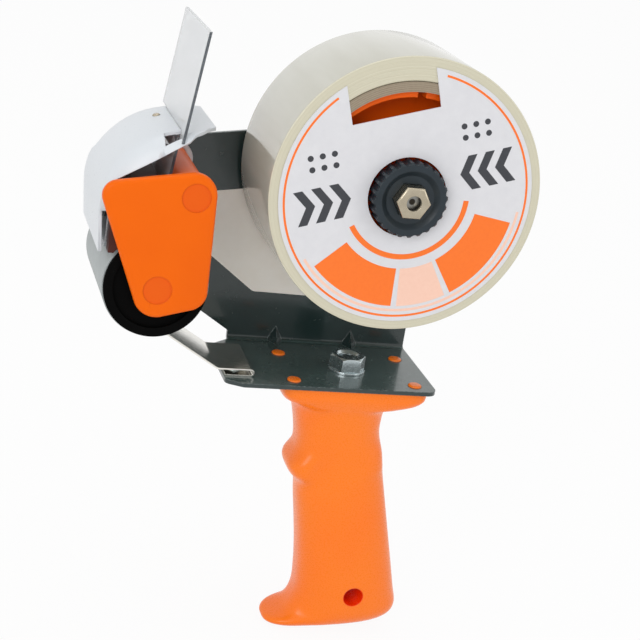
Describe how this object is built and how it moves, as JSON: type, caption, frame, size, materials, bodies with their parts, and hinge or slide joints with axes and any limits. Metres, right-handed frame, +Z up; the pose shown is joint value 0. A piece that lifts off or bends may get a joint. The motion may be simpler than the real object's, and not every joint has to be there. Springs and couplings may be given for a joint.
{
  "type": "packing tape dispenser",
  "caption": "Pistol-grip packing tape gun: bent frame with side plate, tape reel with tension knob, rubber roller, serrated blade under a lifting guard with flap, moulded handle with hang hole.",
  "frame": {"origin": "middle of the hand grip, in the middle plane of the tape's width", "axes": "+Z up from the grip to the reel, -X forwards to the roller, +Y across from the open face of the roll to the side plate"},
  "size_m": [0.1598, 0.07, 0.2376],
  "materials": {
    "frame_paint": "glossy slate-green paint",
    "orange_moulding": "satin moulded",
    "black_moulding": "satin moulded",
    "white_moulding": "satin moulded",
    "clear_sheet": "clear and glossy",
    "grey_rubber": "smooth matte",
    "tape_film": "glossy wound film",
    "core_board": "wound paper board",
    "paper": "coated paper",
    "fibre": "pressed fibre",
    "zinc_steel": "zinc plated",
    "spring_steel": "bright",
    "plated_brass": "plated"
  },
  "bodies": {
    "gun": {"frame": "frame_paint", "inner_label": "paper", "handle": "orange_moulding", "handle_stud": "zinc_steel", "handle_washer": "zinc_steel", "handle_nut": "zinc_steel", "gate_strip": "spring_steel", "gate_rivets": "zinc_steel", "reel_axle": "zinc_steel", "axle_washer": "zinc_steel", "axle_lock_nut": "zinc_steel", "friction_washer": "fibre", "near_plate": "orange_moulding", "cross_post": "orange_moulding", "post_screw": "zinc_steel", "roller_axle": "zinc_steel", "blade_carrier": "black_moulding", "blade": "spring_steel", "blade_screws": "zinc_steel", "carrier_screws": "zinc_steel", "guard_spring": "spring_steel"},
    "reel": {"hub": "orange_moulding", "tape_core": "core_board", "tape_roll": "tape_film", "label_card": "paper"},
    "roller": {"roller_core": "black_moulding", "roller_sleeve": "grey_rubber"},
    "tension_washer": {"pressure_washer": "zinc_steel", "tension_spring": "spring_steel"},
    "knob": {"tension_knob": "black_moulding", "knob_insert": "plated_brass"},
    "guard": {"guard": "white_moulding", "flap": "clear_sheet", "guard_rivet": "plated_brass"}
  },
  "joints": [
    {"name": "reel_spin", "type": "hinge", "parent": "gun", "child": "reel", "pos_m": [-0.004, 0, 0.14], "axis": [0, 1, 0], "continuous": true},
    {"name": "roller_spin", "type": "hinge", "parent": "gun", "child": "roller", "pos_m": [-0.0903, 0, 0.1], "axis": [0, 1, 0], "continuous": true},
    {"name": "washer_slide", "type": "slide", "parent": "gun", "child": "tension_washer", "axis": [0, 1, 0], "range_m": [-0.00125, 0.00125], "deforming": ["tension_spring"]},
    {"name": "knob_turn", "type": "hinge", "parent": "tension_washer", "child": "knob", "pos_m": [-0.004, 0, 0.14], "axis": [0, 1, 0], "range_deg": [-360, 360]},
    {"name": "guard_lift", "type": "hinge", "parent": "gun", "child": "guard", "pos_m": [-0.0808, 0, 0.1343], "axis": [0, 1, 0], "range_deg": [0, 12], "stiffness_Nm_per_rad": 0.2, "springref_deg": -20.05, "deforming": ["guard_spring"]}
  ],
  "couplings": [
    {"joint": "washer_slide", "follows": "knob_turn", "m_per_rad": 0.00019894}
  ]
}
